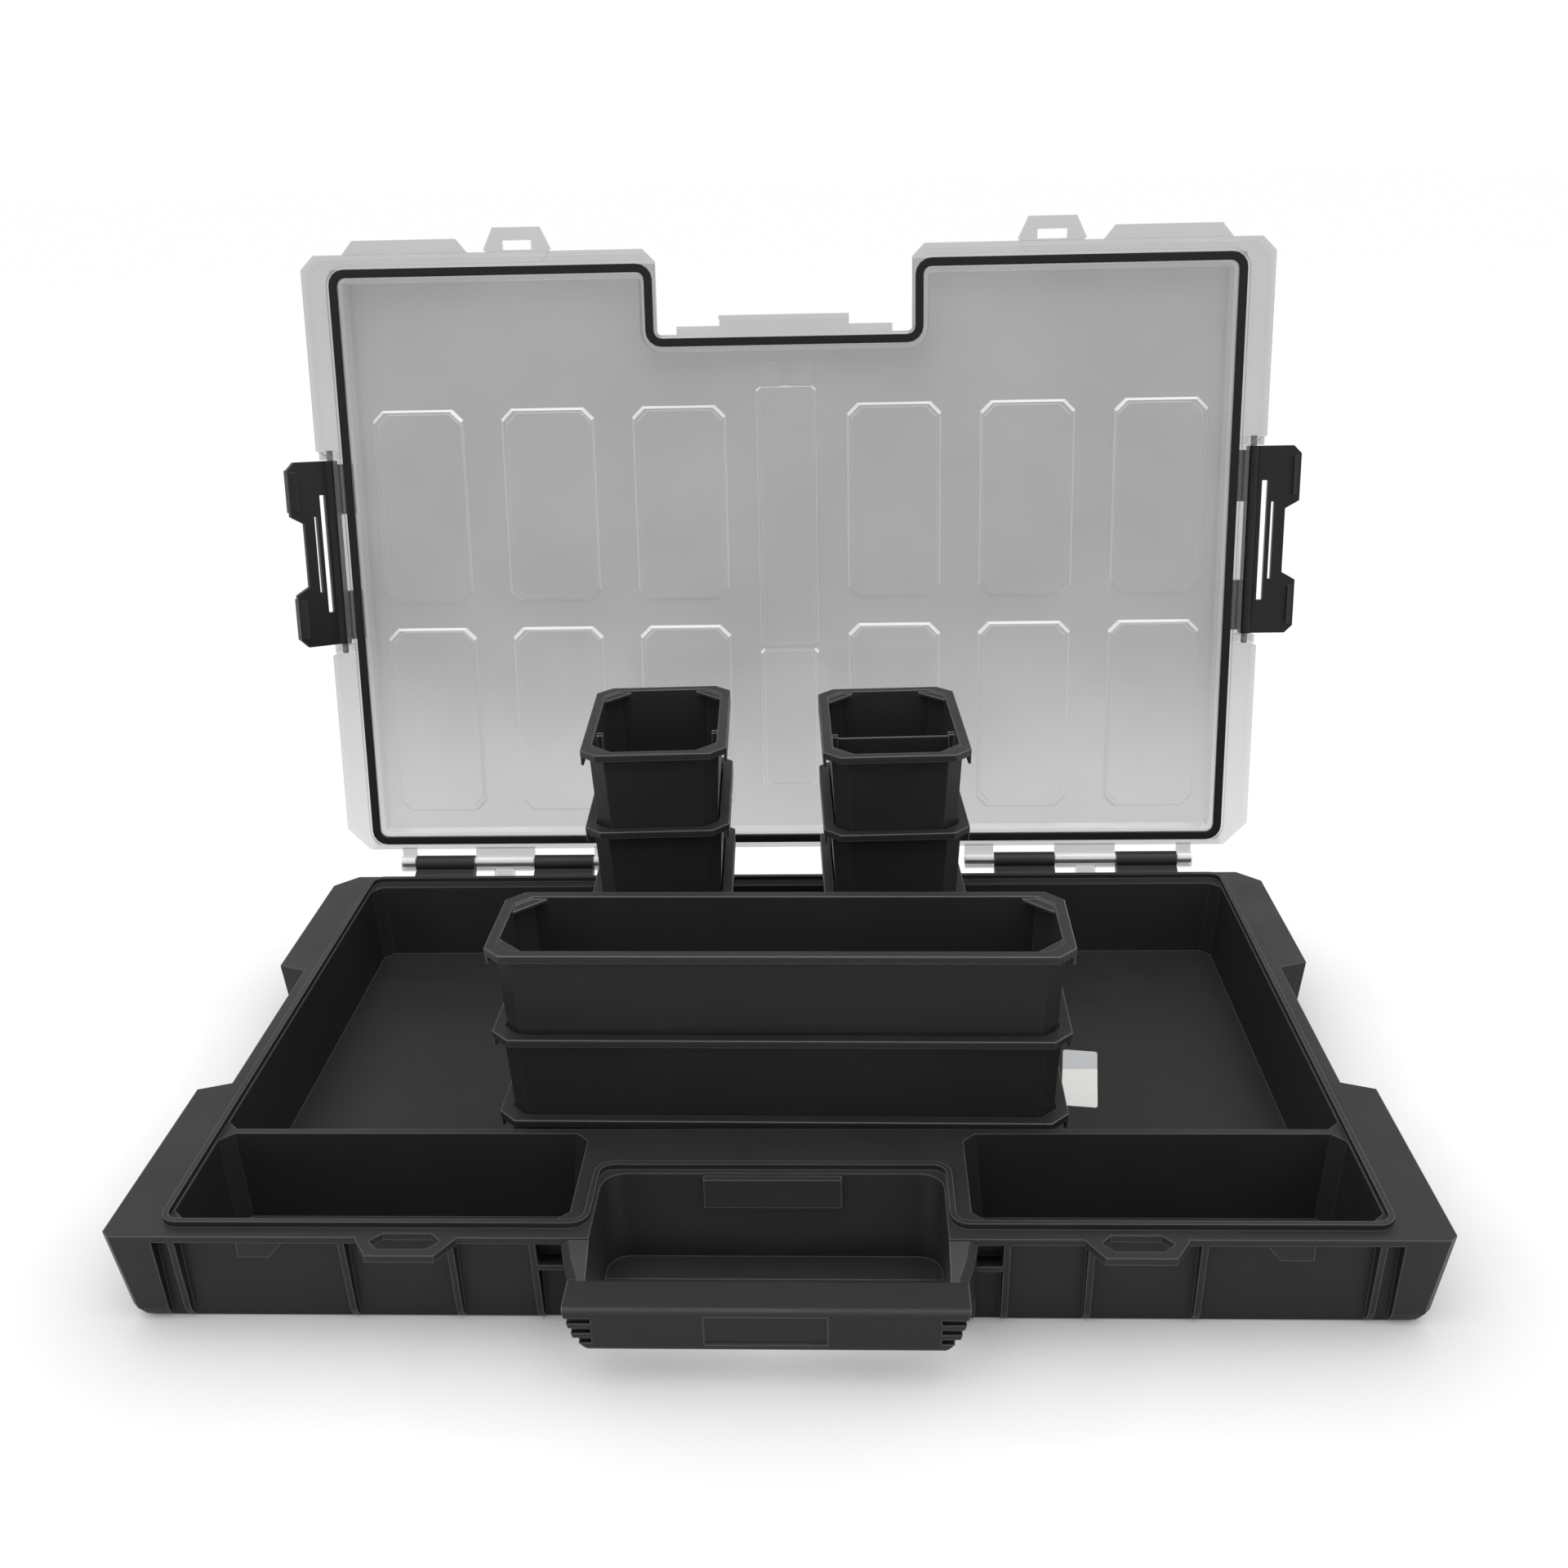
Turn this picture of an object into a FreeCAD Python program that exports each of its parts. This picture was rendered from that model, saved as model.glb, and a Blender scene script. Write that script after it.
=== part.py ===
import FreeCAD, Part
import math
import os

from FreeCAD import Vector

# Compartment organizer: moulded tray, clear hinged lid, side latches and lift-out bins.
# Millimetres. X runs right, Y to the back, Z up. The origin is the centre of the tray's underside.
# Lid pieces are drawn shut and swung open at the end. Bins are drawn at the origin and then placed.

# Tray body
TRAY_WIDTH = 502.0
TRAY_DEPTH = 313.0
TRAY_HEIGHT = 45.0
TONGUE_HEIGHT = 2.5
TONGUE_WIDTH = 2.4
DECK_THICKNESS = 3.0
FLOOR_THICKNESS = 4.0
TRAY_WALL = 2.5
FOOT_HEIGHT = 6.0
FOOT_INSET = 8.0
FOOT_COLUMNS = 4
FOOT_ROWS = 2
FOOT_RIB = 8.0
FOOT_SINK = 1.5
FOOT_CORNER = 10.0
SIDE_DRAFT = 4.0
FRONT_CORNER = 3.0
BACK_CORNER = 11.0
CUT_MARGIN = 2.0

# Sealing line, shared by the tray's tongue and the lid's gasket
SEAL_MARGIN = 7.0
SEAL_BACK_MARGIN = 6.0
SEAL_SIDE_MARGIN = 21.0
SEAL_RADIUS = 6.0
CORNER_FACETS = 4
NOTCH_HALF = 68.7
NOTCH_DEPTH = 36.8

# Wells inside the tray
WELL_GAP = 1.5
WELL_DRAFT = 4.0
WELL_CORNER = 5.0
BAY_DEPTH = 57.0
BAY_INNER_X = 75.5

# Hand hole and carry handle
HOLE_HALF = 66.5
HOLE_DEPTH = 33.0
HOLE_RADIUS = 9.0
HOLE_LIP_DEPTH = 14.0
HOLE_LIP_THICKNESS = 3.0
HANDLE_REACH = 30.0
HANDLE_BAR_DEPTH = 19.0
HANDLE_TOP = 34.0
HANDLE_BOTTOM = 16.0
HANDLE_HALF_BOTTOM = 69.0
HANDLE_FLARE = 4.0
HANDLE_EDGE = 3.0
ARM_OUTER_X = 77.0
GRIP_SLOTS = 3
GRIP_SLOT_START = 6.5
GRIP_SLOT_HEIGHT = 2.2
GRIP_SLOT_PITCH = 4.2
GRIP_SLOT_DEPTH = 2.0
PLATE_WIDTH = 44.0
PLATE_HEIGHT = 12.0
PLATE_SINK = 0.8
CATCH_HALF = 27.0
CATCH_HEIGHT = 13.0
CATCH_REACH = 3.0

# Front face between the corner bumpers
PANEL_SET = 5.0
PANEL_LEAN = 2.5
HANDLE_POCKET_X = 88.0
HANDLE_POCKET_DEPTH = 8.2
EYE_RIB_IN = 16.0
EYE_RIB_OUT = 25.0
FRONT_RIB_WIDTH = 2.5
SLOT_RIB_SET = 26.5
PILLAR_SET = 19.0
GUSSET_SET = 69.0
GUSSET_WIDTH = 18.0
GUSSET_DROP = 7.0
GUSSET_SLOPE = 6.0

# Padlock eyes on the tray and padlock tabs on the lid
EYE_X = 135.0
EYE_HALF = 18.8
EYE_REACH = 10.5
EYE_HOLE_HALF = 13.2
EYE_HOLE_DEPTH = 9.0
EYE_BACK = 2.5
TAB_HALF = 17.0
TAB_REACH = 12.0
TAB_BACK = 5.0
TAB_RISE = 1.2
TAB_SLOT_HALF = 7.5
TAB_SLOT_DEPTH = 4.8
TAB_SLOT_SET = 1.0

# Latch bays in the tray's sides
BAY_WALL_OFFSET = 7.5
BAY_FRONT = 98.0
BAY_BACK = 199.0
BAY_SLOPE = 5.0
LEDGE_TOP = 36.0
LEDGE_HEIGHT = 3.0
LEDGE_REACH = 1.7

# Back hinge
HINGE_SETBACK = 13.5
HINGE_RISE = 2.0
KNUCKLE_RADIUS = 4.4
HINGE_PIN_RADIUS = 2.0
PIN_CLEARANCE = 0.05
KNUCKLE_GAP = 0.4
KNUCKLE_LENGTH = 33.0
KNUCKLE_SET = 21.0
KNUCKLE_INNER = 16.0
KNUCKLE_OUTER = 8.0
STOP_WIDTH = 10.0
STOP_DROP = 11.0
STOP_GAP = 0.3
LID_OPEN_DEG = 98.2

# Lid
FLANGE_GAP = 3.0
LID_NOTCH_HALF = 65.0
NOTCH_CHAMFER = 6.0
FLANGE_THICKNESS = 2.5
FLANGE_SIDE = 15.5
FLANGE_FRONT = 9.0
FLANGE_BACK = 4.5
FLANGE_FRONT_CORNER = 7.0
FLANGE_BACK_CORNER = 12.0
SKIRT_DROP = 3.5
SKIRT_WIDTH = 2.0
LATCH_CUT = (93.0, 191.0)
LATCH_CUT_OFFSET = 7.0
DOME_RISE = 11.0
LID_WALL = 2.5
DOME_EDGE = 3.0
SEAL_THICKNESS = 4.0
SEAL_GAP = 0.1
SEAL_RIB = 1.5
RIB_LIFT = 0.8
LIP_STEPS = ((55.0, 29.0), (33.0, 24.0))
LIP_TURN = 6.0
CORNER_TAB_SET = 20.5
CORNER_TAB_WIDTH = 64.5
CORNER_TAB_SLOPE = 5.8
CORNER_TAB_REACH = 7.0

# Panels pressed into the lid, their columns as shares of the way from the middle to the seal
PANEL_COLUMNS = ((0.135, 0.352), (0.435, 0.652), (0.735, 0.948))
PANEL_ROWS = ((68.0, 170.0), (183.0, 286.0))
PANEL_CORNER = 5.5
PANEL_SINK = 1.6
PANEL_SLOPE = 1.6
CHANNEL_HALF = 16.0
CHANNEL_STEPS = ((59.0, 196.0, 1.6), (196.0, 274.0, 3.0))
CHANNEL_TABS = ((3.0, 13.5), (47.0, 59.0))

# Side latches
LATCH_OFFSET = 3.5
LATCH_RISE = 8.0
LATCH_PIN_RADIUS = 1.6
LATCH_BARREL = 3.6
LATCH_LENGTH = 24.5
LATCH_PLATE = 3.0
LATCH_EAR = 30.0
LATCH_BRIDGE_SET = 7.0
LATCH_ARM = 11.5
LATCH_END_GAP = 0.5
LATCH_SLOT = (6.5, 3.0, 62.0)
LATCH_INNER_SLOT = (11.0, 1.6, 40.0)
EAR_RECESS = (9.0, 20.0, 1.0)
EAR_RIDGE = 2.0
HOOK_AT = 22.0
HOOK_REACH = 2.2
HOOK_WIDTH = 3.0
LUG_WIDTH = 4.2
LUG_ROOT = 9.0
PIN_END = 0.6
LEFT_LATCH_TURN = 40.0

# Lift-out bins
BIN_HEIGHT = 39.5
BIN_NEST = 1.2
BIN_WALL = 1.25
BIN_FLOOR = 1.8
BIN_LIP = 3.6
BIN_LIP_THICKNESS = 3.5
BIN_DRAFT = 1.9
BIN_CORNER = 7.5
BIN_SKIRT = 4.5
BIN_SKIRT_WALL = 1.4
SHELF_CORNER = 15.0
SHELF_THICKNESS = 1.6
SMALL_BIN = (67.5, 96.0)
LONG_BIN = (236.0, 58.4)
GUIDE_AT = 12.0
GUIDE_RIB = 1.2
GUIDE_SLOT = 2.2
DIVIDER_THICKNESS = 1.6
DIVIDER_GAP = 0.4
DIVIDER_DROP = 4.0

# Towers of bins as they stand: across, set in from the well's back or front, turn in degrees
SMALL_LEVELS = 4
LONG_LEVELS = 3
SMALL_LEFT_X = -60.5
SMALL_LEFT_SET = 55.0
SMALL_RIGHT_X = 51.5
SMALL_RIGHT_SET = 60.0
SMALL_TURN = 2.5
LONG_X = 2.5
LONG_SET = 33.0
LONG_TURN = -0.6

# Blank paper label on the tray floor
LABEL_SIZE = (16.3, 48.4)
LABEL_AT = (138.5, 12.5)
LABEL_TURN = -8.0
LABEL_THICKNESS = 0.2

# Derived levels and lines
TRAY_FRONT = -TRAY_DEPTH / 2
TRAY_BACK = TRAY_DEPTH / 2
SEAL_FRONT = TRAY_FRONT + SEAL_MARGIN
SEAL_BACK = TRAY_BACK - SEAL_BACK_MARGIN
SEAL_HALF = TRAY_WIDTH / 2 - SEAL_SIDE_MARGIN
BAY_WALL_X = SEAL_HALF + BAY_WALL_OFFSET
FLANGE_HALF = SEAL_HALF + FLANGE_SIDE
LATCH_CUT_X = SEAL_HALF + LATCH_CUT_OFFSET
HANDLE_HALF_TOP = HANDLE_HALF_BOTTOM + HANDLE_FLARE
SLOT_RIB_X = TRAY_WIDTH / 2 - SLOT_RIB_SET
PILLAR_X = TRAY_WIDTH / 2 - PILLAR_SET
KNUCKLE_LAST = SEAL_HALF - KNUCKLE_SET
KNUCKLE_LINES = [KNUCKLE_LAST - step * KNUCKLE_LENGTH for step in (3, 2, 1, 0)]
TRAY_KNUCKLES = (KNUCKLE_LINES[0:2], KNUCKLE_LINES[2:4])
LID_KNUCKLES = (
    (KNUCKLE_LINES[0] - KNUCKLE_INNER, KNUCKLE_LINES[0]),
    (KNUCKLE_LINES[1], KNUCKLE_LINES[2]),
    (KNUCKLE_LINES[3], KNUCKLE_LINES[3] + KNUCKLE_OUTER),
)
DECK_TOP = TRAY_HEIGHT - TONGUE_HEIGHT
DECK_UNDER = DECK_TOP - DECK_THICKNESS
WELL_HALF = SEAL_HALF - WELL_GAP
WELL_FRONT = SEAL_FRONT + WELL_GAP + 2.0
WELL_BACK = SEAL_BACK - WELL_GAP - 6.0
DIVIDER_FRONT = WELL_FRONT + BAY_DEPTH
DIVIDER_BACK = DIVIDER_FRONT + TRAY_WALL
HINGE_Y = SEAL_BACK + HINGE_SETBACK
HINGE_Z = TRAY_HEIGHT + HINGE_RISE
FLANGE_LOW = TRAY_HEIGHT + FLANGE_GAP
FLANGE_TOP = FLANGE_LOW + FLANGE_THICKNESS
DOME_CEILING = TRAY_HEIGHT + DOME_RISE
LID_TOP = DOME_CEILING + LID_WALL
LATCH_X = BAY_WALL_X + LATCH_OFFSET
LATCH_Z = TRAY_HEIGHT + LATCH_RISE
LATCH_FRONT = SEAL_FRONT + LATCH_CUT[0]
LATCH_BACK = SEAL_FRONT + LATCH_CUT[1]


def both_sides(right):
    """Complete a plan outline from the corners of its right half, front to back."""
    return right + [(-x, y) for x, y in reversed(right)]


def chamfered_rect(x_low, x_high, y_low, y_high, corner):
    """Return the eight corners of a rectangle with cut corners."""
    return [
        (x_low + corner, y_low),
        (x_high - corner, y_low),
        (x_high, y_low + corner),
        (x_high, y_high - corner),
        (x_high - corner, y_high),
        (x_low + corner, y_high),
        (x_low, y_high - corner),
        (x_low, y_low + corner),
    ]


def plan_wire(points, z):
    """Close a plan outline at one height."""
    corners = [Vector(x, y, z) for x, y in points]
    return Part.makePolygon(corners + corners[:1])


def prism(points, z_low, z_high):
    """Extrude a plan outline between two heights."""
    return Part.Face(plan_wire(points, z_low)).extrude(Vector(0, 0, z_high - z_low))


def tapered(sections):
    """Join plan outlines with equal corner counts, given as (z, corners), by flat sides."""
    return Part.makeLoft([plan_wire(points, z) for z, points in sections], True, True)


def drafted(bounds, corner, z_low, z_high, low_inset, high_inset=0.0):
    """Make a cut-cornered block whose sides lean, from (x_low, x_high, y_low, y_high)."""
    x_low, x_high, y_low, y_high = bounds
    sections = []
    for z, inset in ((z_low, low_inset), (z_high, high_inset)):
        points = chamfered_rect(x_low + inset, x_high - inset, y_low + inset, y_high - inset, corner)
        sections.append((z, points))
    return tapered(sections)


def block(x_low, x_high, y_low, y_high, z_low, z_high):
    """Make an upright box from its bounds."""
    return Part.makeBox(x_high - x_low, y_high - y_low, z_high - z_low, Vector(x_low, y_low, z_low))


def side_profile(points, x_low, x_high):
    """Extrude a (y, z) outline along X."""
    corners = [Vector(x_low, y, z) for y, z in points]
    return Part.Face(Part.makePolygon(corners + corners[:1])).extrude(Vector(x_high - x_low, 0, 0))


def front_profile(points, y_low, y_high):
    """Extrude an (x, z) outline along Y."""
    corners = [Vector(x, y_low, z) for x, z in points]
    return Part.Face(Part.makePolygon(corners + corners[:1])).extrude(Vector(0, y_high - y_low, 0))


def rod_x(radius, x_low, x_high, y, z):
    """Make a round bar along X."""
    return Part.makeCylinder(radius, x_high - x_low, Vector(x_low, y, z), Vector(1, 0, 0))


def rod_y(radius, y_low, y_high, x, z):
    """Make a round bar along Y."""
    return Part.makeCylinder(radius, y_high - y_low, Vector(x, y_low, z), Vector(0, 1, 0))


def rounded_wire(points, radius, z):
    """Close a plan outline with every corner turned in short flats that follow an arc."""
    corners = []
    for index, (x, y) in enumerate(points):
        corner = Vector(x, y, z)
        x_before, y_before = points[index - 1]
        x_after, y_after = points[(index + 1) % len(points)]
        before = (Vector(x_before, y_before, z) - corner).normalize()
        after = (Vector(x_after, y_after, z) - corner).normalize()
        half_angle = before.getAngle(after) / 2
        inward = (before + after).normalize()
        centre = corner + inward * (radius / math.sin(half_angle))
        start = corner + before * (radius / math.tan(half_angle)) - centre
        sweep = math.pi - 2 * half_angle
        turn = 1 if before.cross(after).z < 0 else -1
        for step in range(CORNER_FACETS + 1):
            angle = turn * sweep * step / CORNER_FACETS
            x_turned = start.x * math.cos(angle) - start.y * math.sin(angle)
            y_turned = start.x * math.sin(angle) + start.y * math.cos(angle)
            corners.append(centre + Vector(x_turned, y_turned, 0))
    return Part.makePolygon(corners + corners[:1])


def mirrored(shape):
    """Copy a right-hand shape to the left side."""
    return shape.mirror(Vector(0, 0, 0), Vector(1, 0, 0))


def with_mirror(shapes):
    """Return right-hand shapes together with their left-hand copies."""
    return shapes + [mirrored(shape) for shape in shapes]


def seal_prism(offset, z_low, z_high):
    """Fill the sealing line, moved outward by an offset, between two heights."""
    right = [
        (NOTCH_HALF, SEAL_FRONT),
        (SEAL_HALF, SEAL_FRONT),
        (SEAL_HALF, SEAL_BACK),
    ]
    left = [(-x, y) for x, y in reversed(right)]
    notch = [(-NOTCH_HALF, SEAL_FRONT + NOTCH_DEPTH), (NOTCH_HALF, SEAL_FRONT + NOTCH_DEPTH)]
    path = rounded_wire(right + left + notch, SEAL_RADIUS, z_low)
    outline = path.makeOffset2D(offset, 2)
    return Part.Face(outline).extrude(Vector(0, 0, z_high - z_low))


def seal_band(inner, outer, z_low, z_high):
    """Make a closed rib along the sealing line between two offsets."""
    return seal_prism(outer, z_low, z_high).cut(seal_prism(inner, z_low, z_high))


def tray_outline(inset):
    """Return the tray's plan with its latch bays, drawn in by an inset."""
    half = TRAY_WIDTH / 2 - inset
    front = TRAY_FRONT + inset
    back = TRAY_BACK - inset
    bay = BAY_WALL_X - inset / 2
    return both_sides([
        (half - FRONT_CORNER, front),
        (half, front + FRONT_CORNER),
        (half, SEAL_FRONT + BAY_FRONT - BAY_SLOPE),
        (bay, SEAL_FRONT + BAY_FRONT),
        (bay, SEAL_FRONT + BAY_BACK),
        (half, SEAL_FRONT + BAY_BACK + BAY_SLOPE),
        (half, back - BACK_CORNER),
        (half - BACK_CORNER, back),
    ])


def tray_shell():
    """Make the tray's outer form with rounded-under foot, wells and hand hole."""
    outer = tapered([
        (0.0, tray_outline(FOOT_INSET)),
        (FOOT_HEIGHT / 3, tray_outline((FOOT_INSET + SIDE_DRAFT) / 2)),
        (FOOT_HEIGHT, tray_outline(SIDE_DRAFT)),
        (DECK_TOP, tray_outline(0.0)),
    ])
    main = (-WELL_HALF, WELL_HALF, DIVIDER_BACK, WELL_BACK)
    bay = (BAY_INNER_X, WELL_HALF, WELL_FRONT, DIVIDER_FRONT)
    well_top = TRAY_HEIGHT + CUT_MARGIN
    main_well = drafted(main, WELL_CORNER, FLOOR_THICKNESS, well_top, WELL_DRAFT)
    bay_well = drafted(bay, WELL_CORNER, FLOOR_THICKNESS, well_top, WELL_DRAFT)
    hole_front = TRAY_FRONT - CUT_MARGIN - HOLE_RADIUS
    hole_corners = [
        (-HOLE_HALF, hole_front),
        (HOLE_HALF, hole_front),
        (HOLE_HALF, SEAL_FRONT + HOLE_DEPTH),
        (-HOLE_HALF, SEAL_FRONT + HOLE_DEPTH),
    ]
    hole_wire = rounded_wire(hole_corners, HOLE_RADIUS, -CUT_MARGIN)
    hole = Part.Face(hole_wire).extrude(Vector(0, 0, TRAY_HEIGHT + 2 * CUT_MARGIN))
    tongue = seal_band(-TONGUE_WIDTH / 2, TONGUE_WIDTH / 2, DECK_TOP - 1.0, TRAY_HEIGHT)
    return outer.cut(with_mirror([bay_well]) + [main_well, hole]).fuse(tongue)


def front_recesses():
    """Return cuts that set the right half of the front face back under the deck, rib by rib."""
    profile = [
        (TRAY_FRONT - CUT_MARGIN, -CUT_MARGIN),
        (TRAY_FRONT + PANEL_SET + PANEL_LEAN, -CUT_MARGIN),
        (TRAY_FRONT + PANEL_SET, DECK_UNDER),
        (TRAY_FRONT - CUT_MARGIN, DECK_UNDER),
    ]
    stations = (HANDLE_POCKET_X, EYE_X - EYE_RIB_IN, EYE_X + EYE_RIB_OUT, SLOT_RIB_X)
    half_rib = FRONT_RIB_WIDTH / 2
    cuts = []
    for left, right in zip(stations, stations[1:]):
        cuts.append(side_profile(profile, left + half_rib, right - half_rib))
    cuts.append(side_profile(profile, SLOT_RIB_X + half_rib, PILLAR_X))
    middle = (HANDLE_BOTTOM + DECK_UNDER) / 2
    for z_low, z_high in ((-CUT_MARGIN, middle - half_rib), (middle + half_rib, DECK_UNDER)):
        cuts.append(block(ARM_OUTER_X, HANDLE_POCKET_X - half_rib, TRAY_FRONT - CUT_MARGIN,
                          TRAY_FRONT + HANDLE_POCKET_DEPTH, z_low, z_high))
    return cuts


def underside_cores():
    """Return cuts that hollow the bumpers, the middle deck and the floor from below."""
    inner_low = WELL_HALF + TRAY_WALL - 1.0
    outer_high = TRAY_WIDTH / 2 - TRAY_WALL - 1.0
    cores = []
    bumpers = (
        (TRAY_FRONT + FOOT_INSET + TRAY_WALL, SEAL_FRONT + BAY_FRONT - BAY_SLOPE - TRAY_WALL),
        (SEAL_FRONT + BAY_BACK + BAY_SLOPE + TRAY_WALL, TRAY_BACK - BACK_CORNER - FOOT_INSET),
    )
    for y_low, y_high in bumpers:
        middle = (y_low + y_high) / 2
        for cell_low, cell_high in ((y_low, middle - TRAY_WALL / 2), (middle + TRAY_WALL / 2, y_high)):
            low = chamfered_rect(inner_low, outer_high - FOOT_INSET, cell_low, cell_high, 1.0)
            high = chamfered_rect(inner_low, outer_high, cell_low, cell_high, 1.0)
            cores.append(tapered([(-CUT_MARGIN, low), (DECK_UNDER, high)]))
    cores = with_mirror(cores)
    deck = (-HOLE_HALF + HOLE_RADIUS, HOLE_HALF - HOLE_RADIUS,
            SEAL_FRONT + HOLE_DEPTH + TRAY_WALL + CATCH_REACH, DIVIDER_FRONT - TRAY_WALL)
    cores.append(drafted(deck, 2.0, -CUT_MARGIN, DECK_UNDER, 0.0, 1.0))
    span_x = 2 * (WELL_HALF - WELL_DRAFT - FOOT_INSET)
    span_y = WELL_BACK - DIVIDER_BACK - 2 * (WELL_DRAFT + FOOT_INSET)
    cell_x = span_x / FOOT_COLUMNS
    cell_y = span_y / FOOT_ROWS
    margin = FOOT_RIB / 2
    for column in range(FOOT_COLUMNS):
        for row in range(FOOT_ROWS):
            x_low = column * cell_x - span_x / 2
            y_low = DIVIDER_BACK + WELL_DRAFT + FOOT_INSET + row * cell_y
            cell = (x_low + margin, x_low + cell_x - margin, y_low + margin, y_low + cell_y - margin)
            cores.append(drafted(cell, FOOT_CORNER, -CUT_MARGIN, FOOT_SINK, 0.0, FOOT_SINK))
    return cores


def carry_handle():
    """Make the fixed handle: a grip bar on two arms that drop from the deck corners."""
    bar_front = TRAY_FRONT - HANDLE_REACH
    bar_back = bar_front + HANDLE_BAR_DEPTH
    lower = HANDLE_BOTTOM + 2 * HANDLE_EDGE
    right = [
        (HANDLE_HALF_BOTTOM - 2 * HANDLE_EDGE, HANDLE_BOTTOM),
        (HANDLE_HALF_BOTTOM, lower),
        (HANDLE_HALF_TOP, HANDLE_TOP),
    ]
    bar = front_profile(both_sides(right), bar_front, bar_back)
    long_edges = [edge for edge in bar.Edges if edge.BoundBox.YLength < 0.01 and edge.BoundBox.ZLength < 0.01]
    bar = bar.makeFillet(HANDLE_EDGE, long_edges)
    arm_back = TRAY_FRONT + HANDLE_POCKET_DEPTH
    arm_mid = (bar_back + TRAY_FRONT) / 2
    stations = (
        (arm_back, ARM_OUTER_X, HANDLE_BOTTOM - 4.0, DECK_TOP),
        (TRAY_FRONT, ARM_OUTER_X, HANDLE_BOTTOM - 3.0, DECK_TOP - 1.0),
        (arm_mid, ARM_OUTER_X - 1.5, HANDLE_BOTTOM - 1.0, HANDLE_TOP + 3.5),
        (bar_back + HANDLE_EDGE + 1.0 - HANDLE_BAR_DEPTH / 2, HANDLE_HALF_TOP - 2.0, HANDLE_BOTTOM + 2.0,
         HANDLE_TOP - 1.5),
    )
    wires = []
    for y, outer_x, z_low, z_high in stations:
        corners = [
            Vector(HOLE_HALF, y, z_low),
            Vector(outer_x - 2.0, y, z_low),
            Vector(outer_x, y, z_low + 3.0),
            Vector(outer_x, y, z_high - 3.0),
            Vector(outer_x - 3.0, y, z_high),
            Vector(HOLE_HALF, y, z_high),
        ]
        wires.append(Part.makePolygon(corners + corners[:1]))
    arm = Part.makeLoft(wires, True, True)
    handle = bar.fuse(with_mirror([arm]))
    plate_middle = (HANDLE_TOP + HANDLE_BOTTOM) / 2 + 0.5
    cuts = [block(-PLATE_WIDTH / 2, PLATE_WIDTH / 2, bar_front - CUT_MARGIN, bar_front + PLATE_SINK,
                  plate_middle - PLATE_HEIGHT / 2, plate_middle + PLATE_HEIGHT / 2)]
    slots = []
    for index in range(GRIP_SLOTS):
        z = plate_middle + (index - (GRIP_SLOTS - 1) / 2) * GRIP_SLOT_PITCH
        slots.append(block(HANDLE_HALF_BOTTOM - GRIP_SLOT_START, HANDLE_HALF_TOP + CUT_MARGIN, bar_front - CUT_MARGIN,
                           bar_front + GRIP_SLOT_DEPTH, z - GRIP_SLOT_HEIGHT / 2, z + GRIP_SLOT_HEIGHT / 2))
    return handle.cut(cuts + with_mirror(slots))


def padlock_eye():
    """Make the right padlock eye on the deck's front edge and the hole through it."""
    front = TRAY_FRONT - EYE_REACH
    outline = [
        (EYE_X - EYE_HALF, TRAY_FRONT + 1.0),
        (EYE_X - EYE_HALF, TRAY_FRONT - 1.0),
        (EYE_X - EYE_HALF + 6.0, front),
        (EYE_X + EYE_HALF - 6.0, front),
        (EYE_X + EYE_HALF, TRAY_FRONT - 1.0),
        (EYE_X + EYE_HALF, TRAY_FRONT + 1.0),
    ]
    hole_back = TRAY_FRONT + EYE_BACK
    hole_front = hole_back - EYE_HOLE_DEPTH
    hole_middle = (hole_back + hole_front) / 2
    hole = [
        (EYE_X - EYE_HOLE_HALF, hole_middle),
        (EYE_X - EYE_HOLE_HALF + 4.0, hole_front),
        (EYE_X + EYE_HOLE_HALF - 4.0, hole_front),
        (EYE_X + EYE_HOLE_HALF, hole_middle),
        (EYE_X + EYE_HOLE_HALF - 4.0, hole_back),
        (EYE_X - EYE_HOLE_HALF + 4.0, hole_back),
    ]
    return prism(outline, DECK_UNDER, DECK_TOP), prism(hole, DECK_UNDER - CUT_MARGIN, DECK_TOP + CUT_MARGIN)


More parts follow.
